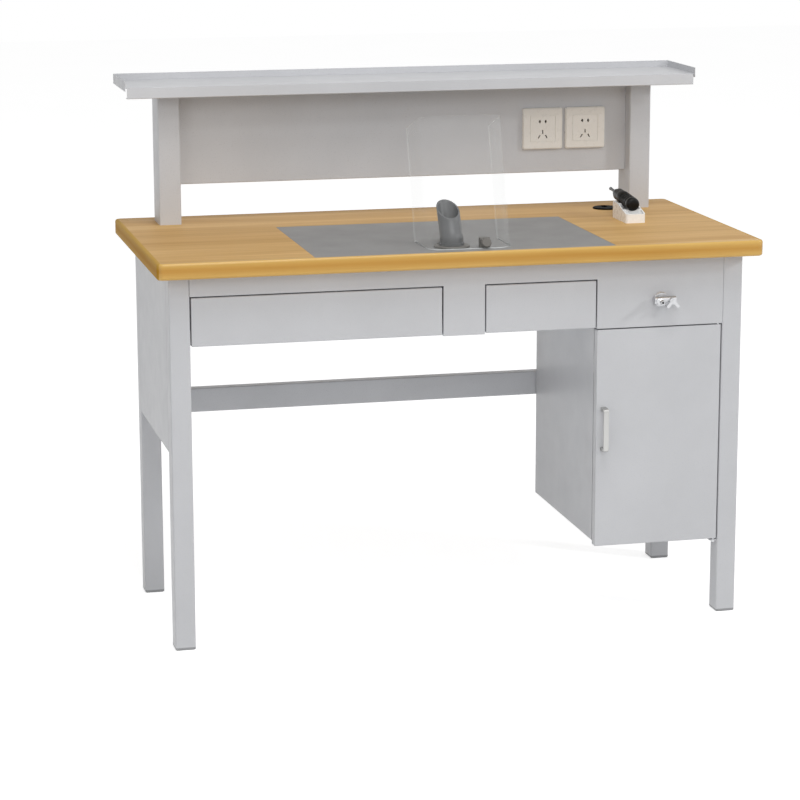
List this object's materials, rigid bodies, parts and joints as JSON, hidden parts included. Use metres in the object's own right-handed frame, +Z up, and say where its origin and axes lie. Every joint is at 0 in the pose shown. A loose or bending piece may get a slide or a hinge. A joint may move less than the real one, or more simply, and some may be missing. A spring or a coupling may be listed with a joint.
{
  "type": "dental lab workbench",
  "caption": "Dental laboratory workbench with drawers, a hinged side cabinet, a raised tray shelf with power sockets, and a shielded suction nozzle in an inset plate.",
  "frame": {"origin": "on the floor under the middle of the worktop", "axes": "+X to the user's right along the bench, +Y to the back, +Z up"},
  "size_m": [1.2, 0.6, 1.068],
  "materials": {
    "frame_paint": "light grey powder coat, satin",
    "zinc_steel": "zinc-plated sheet steel",
    "chrome": "polished chrome plate",
    "satin_pull": "satin nickel plate",
    "worktop_laminate": "maple-grain laminate, satin",
    "wood_lipping": "varnished solid wood",
    "plate_grey": "grey hard plastic plate, matt",
    "white_plastic": "white moulded plastic",
    "grey_plastic": "grey moulded plastic",
    "black_plastic": "black moulded plastic",
    "clear_plastic": "clear acrylic sheet"
  },
  "bodies": {
    "bench": {"leg_front_left": "frame_paint", "leg_front_right": "frame_paint", "leg_back_left": "frame_paint", "leg_back_right": "frame_paint", "leg_end_caps": "grey_plastic", "side_top_rails": "frame_paint", "back_top_rail": "frame_paint", "rear_stretcher": "frame_paint", "side_panel_left": "frame_paint", "side_panel_right": "frame_paint", "front_fascia": "frame_paint", "drawer_divider": "zinc_steel", "runner_bracket": "zinc_steel", "outer_runners": "zinc_steel", "cabinet_side_left": "frame_paint", "cabinet_side_right": "frame_paint", "cabinet_back": "frame_paint", "cabinet_floor": "frame_paint", "cabinet_ceiling": "frame_paint", "door_pivots": "chrome", "catch_magnet": "white_plastic", "worktop_board": "worktop_laminate", "edge_lipping": "wood_lipping", "inset_plate": "plate_grey", "upright_left": "frame_paint", "upright_right": "frame_paint", "upright_plugs": "zinc_steel", "upright_bolts": "zinc_steel", "shelf_tray": "frame_paint", "shelf_edges": "frame_paint", "back_panel": "frame_paint", "panel_cover": "frame_paint", "socket_plates": "white_plastic", "socket_bodies": "white_plastic", "suction_flange": "grey_plastic", "dust_guard": "clear_plastic", "guard_post": "grey_plastic", "tap_body": "chrome", "tap_locknut": "zinc_steel", "handpiece_cradle": "white_plastic", "cable_grommet": "black_plastic"},
    "drawer_left": {"drawer_left_front": "frame_paint", "drawer_left_tray": "zinc_steel", "drawer_left_runners": "zinc_steel"},
    "drawer_right": {"drawer_right_front": "frame_paint", "drawer_right_tray": "zinc_steel", "drawer_right_runners": "zinc_steel"},
    "door": {"door_panel": "frame_paint", "door_stiffener": "zinc_steel", "door_pivot_blocks": "white_plastic", "door_pull": "satin_pull", "catch_striker": "zinc_steel"},
    "nozzle": {"suction_nozzle": "grey_plastic"},
    "tap_handle": {"tap_lever": "chrome"},
    "clamp_screw": {"guard_screw": "grey_plastic"},
    "handpiece": {"handpiece_body": "black_plastic", "handpiece_chuck": "chrome"},
    "cap": {"grommet_cap": "black_plastic"}
  },
  "joints": [
    {"name": "drawer_left_slide", "type": "slide", "parent": "bench", "child": "drawer_left", "axis": [0, -1, 0], "range_m": [0, 0.28]},
    {"name": "drawer_right_slide", "type": "slide", "parent": "bench", "child": "drawer_right", "axis": [0, -1, 0], "range_m": [0, 0.28]},
    {"name": "door_hinge", "type": "hinge", "parent": "bench", "child": "door", "pos_m": [0.5255, -0.25, 0.375], "axis": [0, 0, 1], "range_deg": [0, 105]},
    {"name": "nozzle_swivel", "type": "hinge", "parent": "bench", "child": "nozzle", "pos_m": [-0.016, -0.2308, 0.78], "axis": [0, 0, 1], "range_deg": [-30, 30]},
    {"name": "tap_turn", "type": "hinge", "parent": "bench", "child": "tap_handle", "pos_m": [0.42, -0.28, 0.651], "axis": [0, -1, 0], "range_deg": [0, 90]},
    {"name": "clamp_screw_turn", "type": "hinge", "parent": "bench", "child": "clamp_screw", "pos_m": [0.043, -0.26659, 0.7785], "axis": [0, -0.9511, 0.309], "range_deg": [-180, 180]},
    {"name": "handpiece_lift", "type": "slide", "parent": "bench", "child": "handpiece", "axis": [0, 0, 1], "range_m": [0, 0.15]},
    {"name": "cap_turn", "type": "hinge", "parent": "bench", "child": "cap", "pos_m": [0.429, 0.188, 0.768], "axis": [0, 0, 1], "continuous": true}
  ]
}
